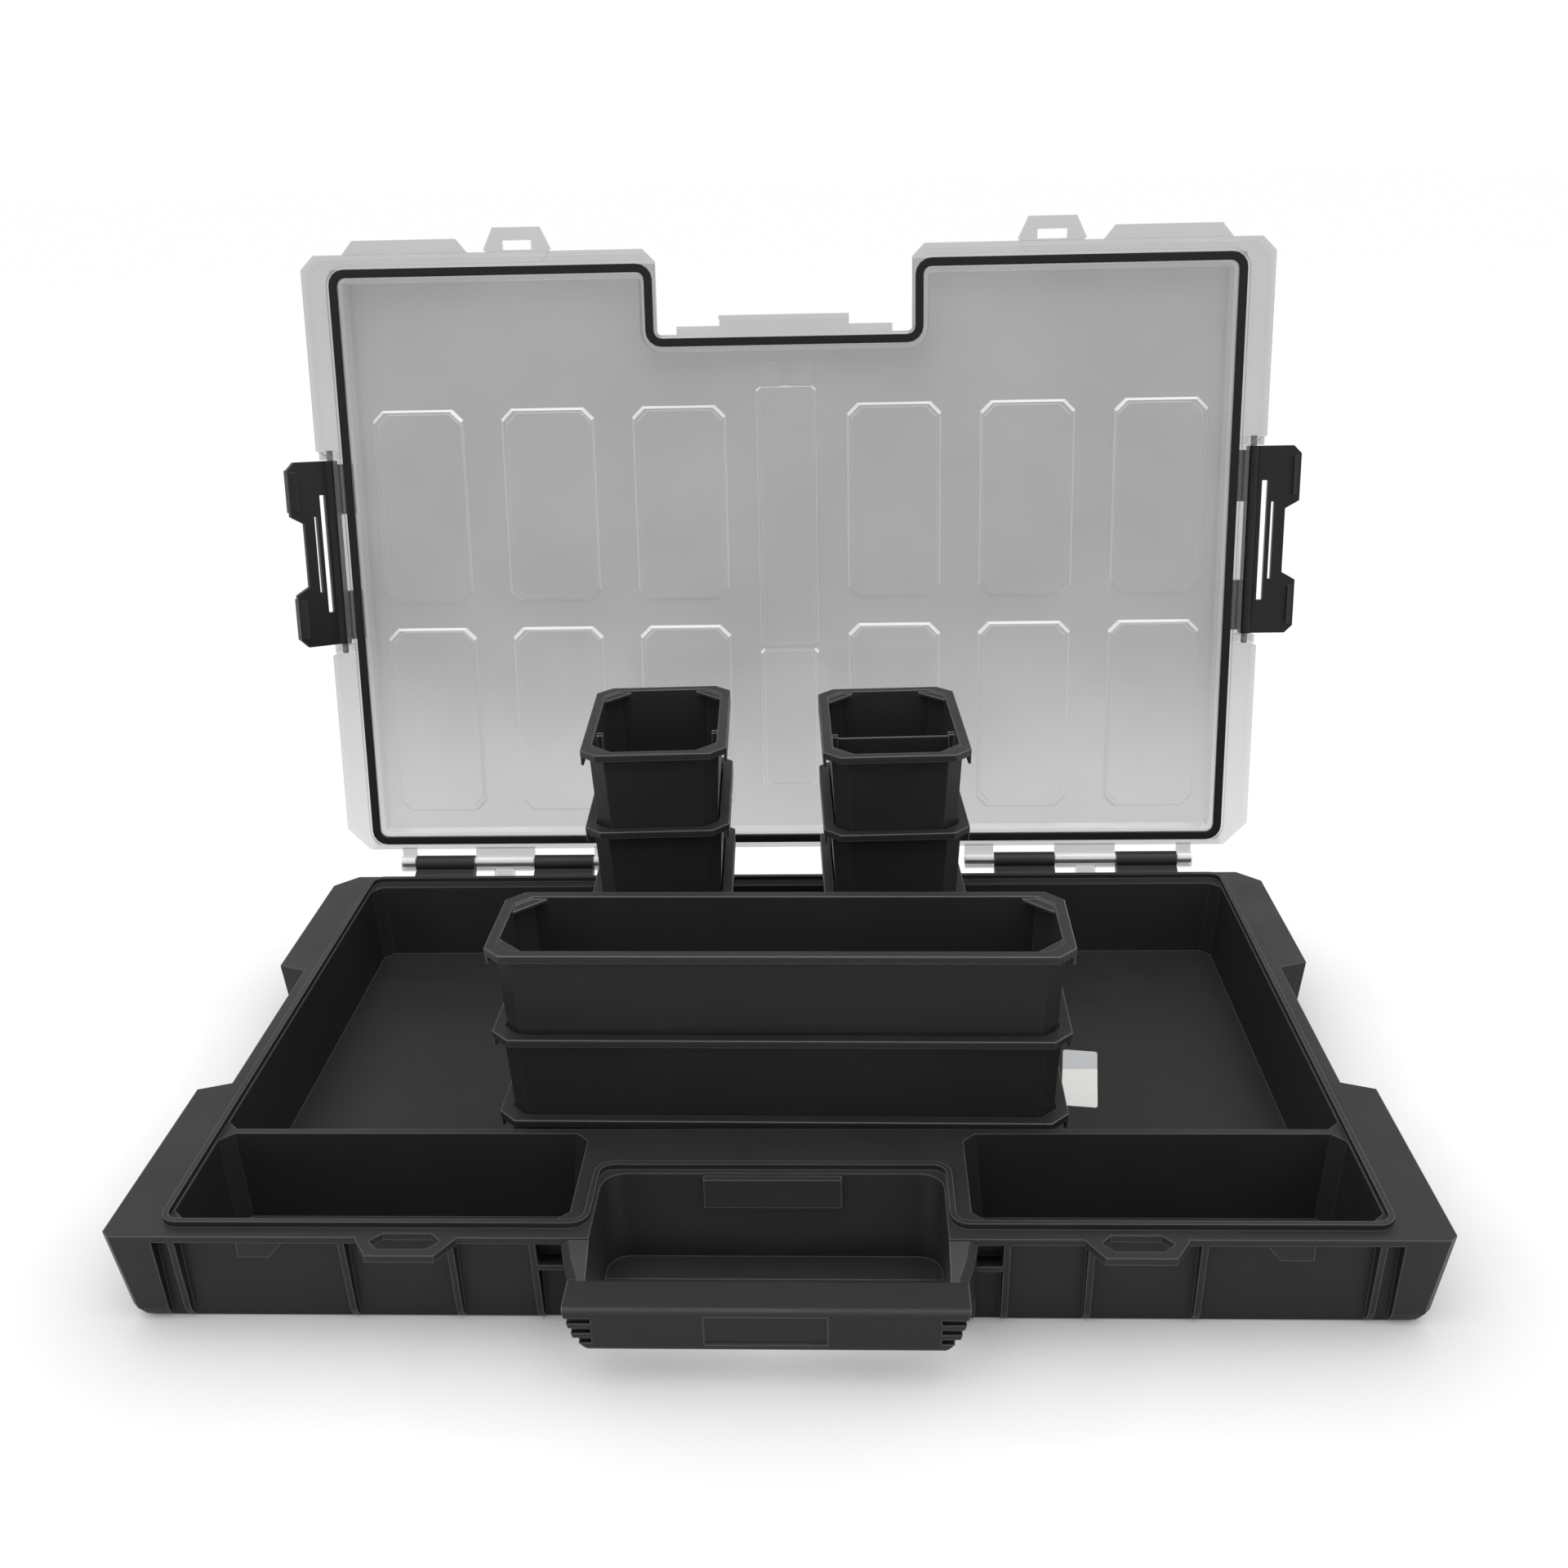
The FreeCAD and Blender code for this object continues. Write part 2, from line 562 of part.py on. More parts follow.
def tray_additions():
    """Return the right-hand details that stand on the tray's outer form."""
    gusset_left = TRAY_WIDTH / 2 - GUSSET_SET
    gusset_right = gusset_left + GUSSET_WIDTH
    gusset = front_profile([
        (gusset_left, DECK_UNDER),
        (gusset_right, DECK_UNDER),
        (gusset_right, DECK_UNDER - GUSSET_DROP),
        (gusset_left + GUSSET_SLOPE, DECK_UNDER - GUSSET_DROP),
    ], TRAY_FRONT + 1.0, TRAY_FRONT + PANEL_SET + PANEL_LEAN)
    details = [gusset]
    bay_middle = SEAL_FRONT + (BAY_FRONT + BAY_BACK) / 2
    wall_x = BAY_WALL_X - SIDE_DRAFT
    for side in (-1, 1):
        centre = bay_middle + side * (BAY_BACK - BAY_FRONT) / 3.3
        details.append(front_profile([
            (wall_x, LEDGE_TOP),
            (BAY_WALL_X, LEDGE_TOP),
            (BAY_WALL_X + LEDGE_REACH, LEDGE_TOP - LEDGE_HEIGHT / 2),
            (BAY_WALL_X + LEDGE_REACH, LEDGE_TOP - LEDGE_HEIGHT),
            (wall_x, LEDGE_TOP - LEDGE_HEIGHT),
        ], centre - LATCH_EAR / 2, centre + LATCH_EAR / 2))
    for x_low, x_high in TRAY_KNUCKLES:
        x_low = x_low + KNUCKLE_GAP / 2
        x_high = x_high - KNUCKLE_GAP / 2
        details.append(rod_x(KNUCKLE_RADIUS, x_low, x_high, HINGE_Y, HINGE_Z))
        details.append(side_profile([
            (TRAY_BACK - TRAY_WALL, DECK_UNDER - 4.0),
            (TRAY_BACK, DECK_UNDER - 4.0),
            (HINGE_Y + KNUCKLE_RADIUS * 0.8, HINGE_Z - KNUCKLE_RADIUS * 0.6),
            (HINGE_Y, HINGE_Z),
            (TRAY_BACK - 1.0, DECK_TOP),
            (TRAY_BACK - TRAY_WALL, DECK_TOP),
        ], x_low, x_high))
    return details


def build_tray():
    """Make the complete tray."""
    tray = tray_shell().cut(with_mirror(front_recesses()) + underside_cores())
    eye, eye_hole = padlock_eye()
    catch = block(-CATCH_HALF, CATCH_HALF, SEAL_FRONT + HOLE_DEPTH - CATCH_REACH,
                  SEAL_FRONT + HOLE_DEPTH + 1.0, DECK_TOP - 1.0 - CATCH_HEIGHT, DECK_TOP - 1.0)
    hole_back = SEAL_FRONT + HOLE_DEPTH
    hole_lip = block(-HOLE_HALF - 1.0, HOLE_HALF + 1.0, hole_back - HOLE_LIP_DEPTH, hole_back + 1.0,
                     0.0, HOLE_LIP_THICKNESS)
    tray = tray.fuse(with_mirror(tray_additions() + [eye]) + [carry_handle(), catch, hole_lip])
    pin_first = LID_KNUCKLES[0][0]
    pin_last = LID_KNUCKLES[-1][1]
    bore = rod_x(HINGE_PIN_RADIUS + PIN_CLEARANCE, pin_first, pin_last, HINGE_Y, HINGE_Z)
    return tray.cut(with_mirror([bore, eye_hole])).removeSplitter()


def lid_flange():
    """Make the lid's rim with tabs, finger lip and turned-down skirt."""
    front = SEAL_FRONT - FLANGE_FRONT
    back = SEAL_BACK + FLANGE_BACK
    notch_back = SEAL_FRONT + HOLE_DEPTH

    def outline(inset, notch_half, notch_back):
        half = FLANGE_HALF - inset
        cut_x = LATCH_CUT_X - inset
        return both_sides([
            (notch_half, notch_back),
            (notch_half, front + NOTCH_CHAMFER),
            (notch_half + NOTCH_CHAMFER, front + inset),
            (half - FLANGE_FRONT_CORNER, front + inset),
            (half, front + FLANGE_FRONT_CORNER + inset),
            (half, LATCH_FRONT - BAY_SLOPE),
            (cut_x, LATCH_FRONT),
            (cut_x, LATCH_BACK),
            (half, LATCH_BACK + BAY_SLOPE),
            (half, back - FLANGE_BACK_CORNER),
            (half - FLANGE_BACK_CORNER, back - inset),
        ])

    rim = prism(outline(0.0, LID_NOTCH_HALF, notch_back), FLANGE_LOW - SKIRT_DROP, FLANGE_TOP)
    open_notch = outline(SKIRT_WIDTH, LID_NOTCH_HALF - CUT_MARGIN, notch_back - CUT_MARGIN)
    hollow = prism(open_notch, FLANGE_LOW - SKIRT_DROP - CUT_MARGIN, FLANGE_LOW)
    rim = rim.cut(hollow)
    tabs = []
    slope_out = FLANGE_HALF - CORNER_TAB_SET
    slope_in = slope_out - CORNER_TAB_WIDTH
    tip_in = slope_in + CORNER_TAB_SLOPE
    tip_out = slope_out - CORNER_TAB_SLOPE
    tabs.append(prism([
        (slope_in, front + 1.0),
        (slope_in, front),
        (tip_in, front - CORNER_TAB_REACH),
        (tip_out, front - CORNER_TAB_REACH),
        (slope_out, front),
        (slope_out, front + 1.0),
    ], FLANGE_LOW, FLANGE_TOP))
    tab_wide_y = front - 1.5
    tab_tip_y = front - TAB_REACH
    tabs.append(prism([
        (EYE_X - TAB_HALF + 5.0, front + TAB_BACK),
        (EYE_X - TAB_HALF, tab_wide_y),
        (EYE_X - TAB_HALF + 5.0, tab_tip_y),
        (EYE_X + TAB_HALF - 5.0, tab_tip_y),
        (EYE_X + TAB_HALF, tab_wide_y),
        (EYE_X + TAB_HALF - 5.0, front + TAB_BACK),
    ], FLANGE_LOW, FLANGE_TOP + TAB_RISE))
    slot_back = front - TAB_SLOT_SET
    slot = block(EYE_X - TAB_SLOT_HALF, EYE_X + TAB_SLOT_HALF, slot_back - TAB_SLOT_DEPTH, slot_back,
                 FLANGE_LOW - SKIRT_DROP - CUT_MARGIN, FLANGE_TOP + CUT_MARGIN)
    lips = [block(-half, half, SEAL_FRONT + lip_y, notch_back + 1.0, FLANGE_LOW, FLANGE_TOP)
            for half, lip_y in LIP_STEPS]
    turn_half, turn_y = LIP_STEPS[-1]
    lips.append(block(-turn_half, turn_half, SEAL_FRONT + turn_y, SEAL_FRONT + turn_y + SKIRT_WIDTH,
                      FLANGE_LOW - LIP_TURN, FLANGE_LOW))
    return rim.fuse(with_mirror(tabs) + lips).cut(with_mirror([slot]))


def lid_dome():
    """Make the raised middle of the lid with the inner wall of the seal channel."""
    wall_out = -SEAL_THICKNESS / 2 - SEAL_GAP
    wall_in = wall_out - LID_WALL
    wall_foot = TRAY_HEIGHT + RIB_LIFT
    outer = seal_prism(wall_out, wall_foot, LID_TOP)
    top_edges = [edge for edge in outer.Edges if edge.BoundBox.ZMin > LID_TOP - 0.01]
    outer = outer.makeChamfer(DOME_EDGE * 0.7, top_edges)
    inner = seal_prism(wall_in, wall_foot - CUT_MARGIN, DOME_CEILING)
    return outer, inner


def pressed_panel(bounds, corner, sink, slope):
    """Return the inward block and the outward recess of one pressed panel."""
    x_low, x_high, y_low, y_high = bounds
    inside = drafted(bounds, corner, DOME_CEILING - sink, DOME_CEILING + 0.5, slope)
    wall = LID_WALL * 0.6
    hollow = (x_low + wall, x_high - wall, y_low + wall, y_high - wall)
    outside = drafted(hollow, corner, LID_TOP - sink, LID_TOP + CUT_MARGIN, slope)
    return inside, outside


def lid_relief():
    """Return the inward blocks and outward recesses of the panels and the middle channel."""
    inside = []
    outside = []
    for x_low, x_high in PANEL_COLUMNS:
        for y_low, y_high in PANEL_ROWS:
            bounds = (x_low * SEAL_HALF, x_high * SEAL_HALF, SEAL_FRONT + y_low, SEAL_FRONT + y_high)
            raised, recess = pressed_panel(bounds, PANEL_CORNER, PANEL_SINK, PANEL_SLOPE)
            inside.append(raised)
            outside.append(recess)
    inside = with_mirror(inside)
    outside = with_mirror(outside)
    for y_low, y_high, sink in CHANNEL_STEPS:
        bounds = (-CHANNEL_HALF, CHANNEL_HALF, SEAL_FRONT + y_low, SEAL_FRONT + y_high)
        raised, recess = pressed_panel(bounds, 2.0, sink, 1.0)
        inside.append(raised)
        outside.append(recess)
    (tab_in, tab_out), (tab_front, tab_back) = CHANNEL_TABS
    tab = block(tab_in, tab_out, SEAL_FRONT + tab_front, SEAL_FRONT + tab_back,
                DOME_CEILING - PANEL_SINK, DOME_CEILING + 0.5)
    return inside + with_mirror([tab]), outside


def lid_hinge_parts():
    """Return the right-hand lid knuckles, their arms and the stop lug."""
    flange_back = SEAL_BACK + FLANGE_BACK
    parts = []
    for x_low, x_high in LID_KNUCKLES:
        x_low = x_low + KNUCKLE_GAP / 2
        x_high = x_high - KNUCKLE_GAP / 2
        parts.append(rod_x(KNUCKLE_RADIUS, x_low, x_high, HINGE_Y, HINGE_Z))
        parts.append(block(x_low, x_high, flange_back - SKIRT_WIDTH, HINGE_Y, FLANGE_LOW, FLANGE_TOP))
    stop_x = sum(LID_KNUCKLES[1]) / 2
    stop = block(stop_x - STOP_WIDTH / 2, stop_x + STOP_WIDTH / 2, TRAY_BACK + STOP_GAP,
                 HINGE_Y, HINGE_Z - STOP_DROP, HINGE_Z - 1.0)
    stop.rotate(Vector(0, HINGE_Y, HINGE_Z), Vector(1, 0, 0), LID_OPEN_DEG)
    parts.append(stop)
    return parts


def latch_lugs():
    """Return the two ears on the lid's right side that carry the latch pin."""
    half = FLANGE_HALF
    profile = [
        (LATCH_X - LUG_ROOT, FLANGE_TOP - 1.0),
        (half, FLANGE_TOP - 1.0),
        (half, LATCH_Z + 1.0),
        (LATCH_X + 2.0, LATCH_Z + LATCH_BARREL),
        (LATCH_X - 2.0, LATCH_Z + LATCH_BARREL),
    ]
    front_lug = front_profile(profile, LATCH_FRONT - LUG_WIDTH, LATCH_FRONT)
    back_lug = front_profile(profile, LATCH_BACK, LATCH_BACK + LUG_WIDTH)
    return [front_lug, back_lug]


def build_lid():
    """Make the complete lid, shut."""
    outer, inner = lid_dome()
    rib_in = SEAL_THICKNESS / 2 + SEAL_GAP
    channel_rib = seal_band(rib_in, rib_in + SEAL_RIB, TRAY_HEIGHT + RIB_LIFT, FLANGE_LOW + 0.5)
    inside, outside = lid_relief()
    lid = lid_flange().fuse([outer, channel_rib]).cut(inner)
    lid = lid.fuse(inside + with_mirror(lid_hinge_parts() + latch_lugs())).cut(outside)
    hinge_bore = rod_x(HINGE_PIN_RADIUS + PIN_CLEARANCE, LID_KNUCKLES[0][0] - CUT_MARGIN,
                       LID_KNUCKLES[-1][1] + CUT_MARGIN, HINGE_Y, HINGE_Z)
    latch_bore = rod_y(LATCH_PIN_RADIUS + PIN_CLEARANCE, LATCH_FRONT - LUG_WIDTH - CUT_MARGIN,
                       LATCH_BACK + LUG_WIDTH + CUT_MARGIN, LATCH_X, LATCH_Z)
    return lid.cut(with_mirror([hinge_bore, latch_bore])).removeSplitter()


def build_seal():
    """Make the gasket that fills the lid's channel, shut."""
    half = SEAL_THICKNESS / 2
    return seal_band(-half, half, TRAY_HEIGHT, FLANGE_LOW)


def build_latch():
    """Make the right latch, lying open in line with the shut lid's rim."""
    front = LATCH_FRONT + LATCH_END_GAP
    back = LATCH_BACK - LATCH_END_GAP
    middle = (front + back) / 2
    tip = LATCH_X + LATCH_LENGTH
    bridge = tip - LATCH_BRIDGE_SET
    ear_front = front + LATCH_EAR
    ear_back = back - LATCH_EAR
    half_plate = LATCH_PLATE / 2
    plate = prism([
        (LATCH_X, front),
        (tip - 4.0, front),
        (tip, front + 4.0),
        (tip, ear_front - 2.0),
        (bridge, ear_front + 2.0),
        (bridge, ear_back - 2.0),
        (tip, ear_back + 2.0),
        (tip, back - 4.0),
        (tip - 4.0, back),
        (LATCH_X, back),
    ], LATCH_Z - half_plate, LATCH_Z + half_plate)
    pieces = [rod_y(LATCH_BARREL, front, back, LATCH_X, LATCH_Z)]
    cuts = []
    for offset, width, length in (LATCH_SLOT, LATCH_INNER_SLOT):
        cuts.append(block(LATCH_X + offset - width / 2, LATCH_X + offset + width / 2, middle - length / 2,
                          middle + length / 2, LATCH_Z - LATCH_BARREL, LATCH_Z + LATCH_BARREL))
    recess_width, recess_length, recess_depth = EAR_RECESS
    arm_under = FLANGE_TOP + SEAL_GAP
    for y_low, y_high in ((front, ear_front), (ear_back, back)):
        ear_middle = (y_low + y_high) / 2
        pieces.append(block(LATCH_X - LATCH_ARM, LATCH_X, y_low + 2.0, y_high - 2.0,
                            arm_under, LATCH_Z + half_plate))
        pieces.append(block(tip - EAR_RIDGE, tip, y_low + 4.0, y_high - 4.0,
                            LATCH_Z, LATCH_Z + half_plate + EAR_RIDGE))
        hook_low = LATCH_X + HOOK_AT - HOOK_WIDTH / 2
        pieces.append(front_profile([
            (hook_low, LATCH_Z),
            (hook_low, LATCH_Z - half_plate - HOOK_REACH),
            (hook_low + HOOK_WIDTH, LATCH_Z - half_plate),
            (hook_low + HOOK_WIDTH, LATCH_Z),
        ], ear_middle - LATCH_EAR / 3, ear_middle + LATCH_EAR / 3))
        recess_x = LATCH_X + LATCH_LENGTH * 0.55
        cuts.append(block(recess_x - recess_width / 2, recess_x + recess_width / 2,
                          ear_middle - recess_length / 2, ear_middle + recess_length / 2,
                          LATCH_Z + half_plate - recess_depth, LATCH_Z + half_plate + CUT_MARGIN))
    bore = rod_y(LATCH_PIN_RADIUS + PIN_CLEARANCE, front - CUT_MARGIN, back + CUT_MARGIN, LATCH_X, LATCH_Z)
    return plate.cut(cuts).fuse(pieces).cut(bore).removeSplitter()


def build_latch_pin():
    """Make the right latch pin, shut."""
    return rod_y(LATCH_PIN_RADIUS, LATCH_FRONT - LUG_WIDTH - PIN_END, LATCH_BACK + LUG_WIDTH + PIN_END,
                 LATCH_X, LATCH_Z)


def build_hinge_pin():
    """Make the right hinge pin."""
    return rod_x(HINGE_PIN_RADIUS, LID_KNUCKLES[0][0], LID_KNUCKLES[-1][1], HINGE_Y, HINGE_Z)


def swing_lid(shape):
    """Turn a shut lid piece back to its open rest on the stop."""
    opened = shape.copy()
    opened.rotate(Vector(0, HINGE_Y, HINGE_Z), Vector(1, 0, 0), -LID_OPEN_DEG)
    return opened


def bin_half(size, inset):
    """Return the bounds of a bin's plan drawn in from its lip by an inset."""
    width, depth = size
    return (inset - width / 2, width / 2 - inset, inset - depth / 2, depth / 2 - inset)


def bin_cavity_half(size, z):
    """Return half the clear width and depth inside a bin at one height."""
    width, depth = size
    inset = BIN_LIP + BIN_WALL + BIN_DRAFT * (1 - z / BIN_HEIGHT)
    return width / 2 - inset, depth / 2 - inset


def build_bin(size, has_guides):
    """Make one bin at the origin: drafted walls, hooked lip, stacking shelves, divider guides."""
    width, depth = size
    body_corner = BIN_CORNER - 0.5
    outer = drafted(bin_half(size, BIN_LIP), body_corner, 0.0, BIN_HEIGHT, BIN_DRAFT)
    lip = prism(chamfered_rect(*bin_half(size, 0.0), BIN_CORNER), BIN_HEIGHT - BIN_LIP_THICKNESS, BIN_HEIGHT)
    skirts = []
    skirt_low = BIN_HEIGHT - BIN_LIP_THICKNESS - BIN_SKIRT
    skirt_half = depth / 2 - BIN_CORNER - 1.0
    skirts.append(block(width / 2 - BIN_SKIRT_WALL, width / 2, -skirt_half, skirt_half,
                        skirt_low, BIN_HEIGHT - 1.0))
    cavity = drafted(bin_half(size, BIN_LIP + BIN_WALL), body_corner - 0.6, BIN_FLOOR,
                     BIN_HEIGHT + CUT_MARGIN, BIN_DRAFT * (1 - BIN_FLOOR / BIN_HEIGHT),
                     -BIN_DRAFT * CUT_MARGIN / BIN_HEIGHT)
    shelf_top = BIN_HEIGHT - BIN_NEST
    x_half, y_half = width / 2 - BIN_LIP, depth / 2 - BIN_LIP
    inserts = [prism([
        (x_half, y_half - SHELF_CORNER),
        (x_half, y_half),
        (x_half - SHELF_CORNER, y_half),
    ], shelf_top - SHELF_THICKNESS, shelf_top)]
    inserts.append(inserts[0].mirror(Vector(0, 0, 0), Vector(0, 1, 0)))
    inserts = [insert.common(outer) for insert in inserts]
    if has_guides:
        guide_in = bin_cavity_half(size, BIN_FLOOR)[0] - GUIDE_RIB
        rib_low = BIN_FLOOR / 2
        rib_high = shelf_top - SHELF_THICKNESS
        rib_profile = [
            (guide_in, rib_low),
            (bin_cavity_half(size, rib_low)[0] + BIN_WALL / 2, rib_low),
            (bin_cavity_half(size, rib_high)[0] + BIN_WALL / 2, rib_high),
            (guide_in, rib_high),
        ]
        for side in (-1, 1):
            rib_y = side * (GUIDE_SLOT + GUIDE_RIB) / 2 - GUIDE_AT
            inserts.append(front_profile(rib_profile, rib_y - GUIDE_RIB / 2, rib_y + GUIDE_RIB / 2))
    bin_shell = outer.fuse([lip] + with_mirror(skirts)).cut(cavity)
    return bin_shell.fuse(with_mirror(inserts)).removeSplitter()


def build_divider():
    """Make the loose cross plate for a small bin, at the bin's own origin."""
    bottom = BIN_FLOOR
    top = BIN_HEIGHT - DIVIDER_DROP
    bottom_half = bin_cavity_half(SMALL_BIN, bottom)[0] - DIVIDER_GAP
    top_half = bin_cavity_half(SMALL_BIN, top)[0] - DIVIDER_GAP
    outline = [(bottom_half, bottom), (top_half, top), (-top_half, top), (-bottom_half, bottom)]
    middle = -GUIDE_AT
    return front_profile(outline, middle - DIVIDER_THICKNESS / 2, middle + DIVIDER_THICKNESS / 2)


def place_in_tower(shape, tower, level):
    """Move a piece drawn at the origin to one level of a tower."""
    x, y, turn = tower
    placed = shape.copy()
    placed.rotate(Vector(0, 0, 0), Vector(0, 0, 1), turn)
    placed.translate(Vector(x, y, FLOOR_THICKNESS + level * (BIN_HEIGHT - BIN_NEST)))
    return placed


def build_label():
    """Make the blank paper label on the tray floor."""
    width, depth = LABEL_SIZE
    label = prism(chamfered_rect(-width / 2, width / 2, -depth / 2, depth / 2, 1.0), 0.0, LABEL_THICKNESS)
    label.rotate(Vector(0, 0, 0), Vector(0, 0, 1), LABEL_TURN)
    x, y = LABEL_AT
    label.translate(Vector(x, y, FLOOR_THICKNESS))
    return label


def build_nodes():
    """Return every piece by node name, placed at rest."""
    latch = build_latch()
    latch_pin = build_latch_pin()
    hinge_pin = build_hinge_pin()
    left_latch = mirrored(latch)
    left_latch.rotate(Vector(-LATCH_X, 0, LATCH_Z), Vector(0, 1, 0), -LEFT_LATCH_TURN)
    nodes = {
        "base_tray": build_tray(),
        "lid_panel": swing_lid(build_lid()),
        "lid_seal": swing_lid(build_seal()),
        "hinge_pin_right": hinge_pin,
        "hinge_pin_left": mirrored(hinge_pin),
        "latch_right": swing_lid(latch),
        "latch_left": swing_lid(left_latch),
        "latch_pin_right": swing_lid(latch_pin),
        "latch_pin_left": swing_lid(mirrored(latch_pin)),
        "floor_label": build_label(),
    }
    small_bin = build_bin(SMALL_BIN, True)
    long_bin = build_bin(LONG_BIN, False)
    left_tower = (SMALL_LEFT_X, WELL_BACK - SMALL_LEFT_SET, SMALL_TURN)
    right_tower = (SMALL_RIGHT_X, WELL_BACK - SMALL_RIGHT_SET, SMALL_TURN)
    long_tower = (LONG_X, DIVIDER_BACK + LONG_SET, LONG_TURN)
    towers = (
        ("small_bin_left", small_bin, left_tower, SMALL_LEVELS),
        ("small_bin_right", small_bin, right_tower, SMALL_LEVELS),
        ("long_bin", long_bin, long_tower, LONG_LEVELS),
    )
    for name, shape, tower, levels in towers:
        for level in range(levels):
            nodes[f"{name}_{level + 1}"] = place_in_tower(shape, tower, level)
    nodes["bin_divider"] = place_in_tower(build_divider(), right_tower, SMALL_LEVELS - 1)
    return nodes


os.makedirs("parts", exist_ok=True)
for node_name, node_shape in build_nodes().items():
    node_shape.exportStep(f"parts/{node_name}.step")
    print(node_name, len(node_shape.Solids), node_shape.isValid(), round(node_shape.Volume / 1000, 1))
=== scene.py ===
"""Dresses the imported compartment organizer: moulded tray, clear lid, latches and lift-out bins."""

import logging
import math
from dataclasses import dataclass
from enum import Enum
from typing import Any

import bpy
from mathutils import Matrix, Vector

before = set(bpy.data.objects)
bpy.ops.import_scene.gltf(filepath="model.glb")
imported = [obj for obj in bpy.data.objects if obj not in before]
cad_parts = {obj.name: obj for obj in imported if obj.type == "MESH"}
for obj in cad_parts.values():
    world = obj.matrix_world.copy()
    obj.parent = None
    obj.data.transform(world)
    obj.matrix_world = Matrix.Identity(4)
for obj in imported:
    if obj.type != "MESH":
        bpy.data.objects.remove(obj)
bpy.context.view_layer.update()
LOG = logging.getLogger("organizer")
MM = 0.001
# The middle of Blender's noise, where nearly all of its values lie.
NOISE_MIDDLE = (0.3, 0.7)
FULL_RANGE = (0.0, 1.0)
WHITE = "#FFFFFF"
# Edge rounding: vertices nearer than this are one, faces within this angle are one, edges over it are sharp.
WELD_MM = 0.002
FLAT_DEG = 0.5
SHARP_DEG = 28.0
EDGE_STEPS = 2
LARGE_FACE_WEIGHT = 100
SIDES = ("left", "right")


class Nodes(Enum):
    """Shader node kinds that the finishes use."""

    OUTPUT = "ShaderNodeOutputMaterial"
    PRINCIPLED = "ShaderNodeBsdfPrincipled"
    COORDINATES = "ShaderNodeTexCoord"
    NOISE = "ShaderNodeTexNoise"
    RANGE = "ShaderNodeMapRange"
    BUMP = "ShaderNodeBump"
    GEOMETRY = "ShaderNodeNewGeometry"
    ROUNDED = "ShaderNodeBevel"
    MIX = "ShaderNodeMix"
    MATH = "ShaderNodeMath"
    SEPARATE = "ShaderNodeSeparateXYZ"
    TURN = "ShaderNodeVectorTransform"
    VECTOR_MATH = "ShaderNodeVectorMath"
    LIGHT_PATH = "ShaderNodeLightPath"
    DIFFUSE = "ShaderNodeBsdfDiffuse"
    EMISSION = "ShaderNodeEmission"
    MIX_SHADER = "ShaderNodeMixShader"
    BACKGROUND = "ShaderNodeBackground"
    WORLD_OUTPUT = "ShaderNodeOutputWorld"
    OCCLUSION = "ShaderNodeAmbientOcclusion"


class Operation(Enum):
    """Sums that the Math node does in the finishes."""

    ABSOLUTE = "ABSOLUTE"
    MULTIPLY = "MULTIPLY"
    MAXIMUM = "MAXIMUM"
    GREATER = "GREATER_THAN"
    LESS = "LESS_THAN"
    COMPARE = "COMPARE"


def linear(hex_colour: str) -> tuple[float, float, float, float]:
    """Turn an sRGB hex colour into linear RGBA.

    Args:
        hex_colour: Six hex digits with a leading hash.

    Returns:
        Linear red, green, blue and an alpha of 1.
    """
    channels = [int(hex_colour[i:i + 2], 16) / 255.0 for i in (1, 3, 5)]
    flat = [c / 12.92 if c <= 0.04045 else ((c + 0.055) / 1.055) ** 2.4 for c in channels]
    return flat[0], flat[1], flat[2], 1.0


def add_node(tree: bpy.types.NodeTree, kind: Nodes, settings: dict[str, Any] | None = None,
             inputs: dict[Any, Any] | None = None) -> bpy.types.Node:
    """Add one shader node, set it up and link its inputs.

    Args:
        tree: Node tree that receives the node.
        kind: Which node to add.
        settings: Attributes of the node to set.
        inputs: Input socket names or numbers, each with a constant or a source socket.

    Returns:
        The new node.
    """
    node = tree.nodes.new(kind.value)
    for key, value in (settings or {}).items():
        setattr(node, key, value)
    for key, value in (inputs or {}).items():
        if isinstance(value, bpy.types.NodeSocket):
            tree.links.new(value, node.inputs[key])
        else:
            node.inputs[key].default_value = value
    return node


def new_material(name: str) -> tuple[bpy.types.Material, bpy.types.NodeTree]:
    """Make an empty node material and return it with its tree."""
    material = bpy.data.materials.new(name)
    material.use_nodes = True
    material.node_tree.nodes.clear()
    return material, material.node_tree


def calculate(tree: bpy.types.NodeTree, operation: Operation, *values: Any) -> bpy.types.NodeSocket:
    """Add a Math node.

    Args:
        tree: Tree that receives the node.
        operation: Sum to do.
        values: Constants or source sockets, in order.

    Returns:
        The result's socket.
    """
    inputs = dict(enumerate(values))
    return add_node(tree, Nodes.MATH, {"operation": operation.value}, inputs).outputs[0]


def dot(tree: bpy.types.NodeTree, first: Any, second: Any) -> bpy.types.NodeSocket:
    """Add a dot product of two vectors and return its value's socket."""
    return add_node(tree, Nodes.VECTOR_MATH, {"operation": "DOT_PRODUCT"}, {
        0: first, 1: second}).outputs["Value"]


def noise(tree: bpy.types.NodeTree, place: bpy.types.NodeSocket, size_mm: float, detail: float,
          roughness: float = 0.5) -> bpy.types.NodeSocket:
    """Add a noise pattern of a real size.

    Args:
        tree: Tree that receives the node.
        place: Coordinates in metres.
        size_mm: Size of the pattern's largest features.
        detail: Number of finer layers.
        roughness: Strength of each finer layer against the one before.

    Returns:
        The pattern's socket.
    """
    return add_node(tree, Nodes.NOISE, inputs={
        "Vector": place, "Scale": 1.0 / (size_mm * MM), "Detail": detail,
        "Roughness": roughness}).outputs["Fac"]


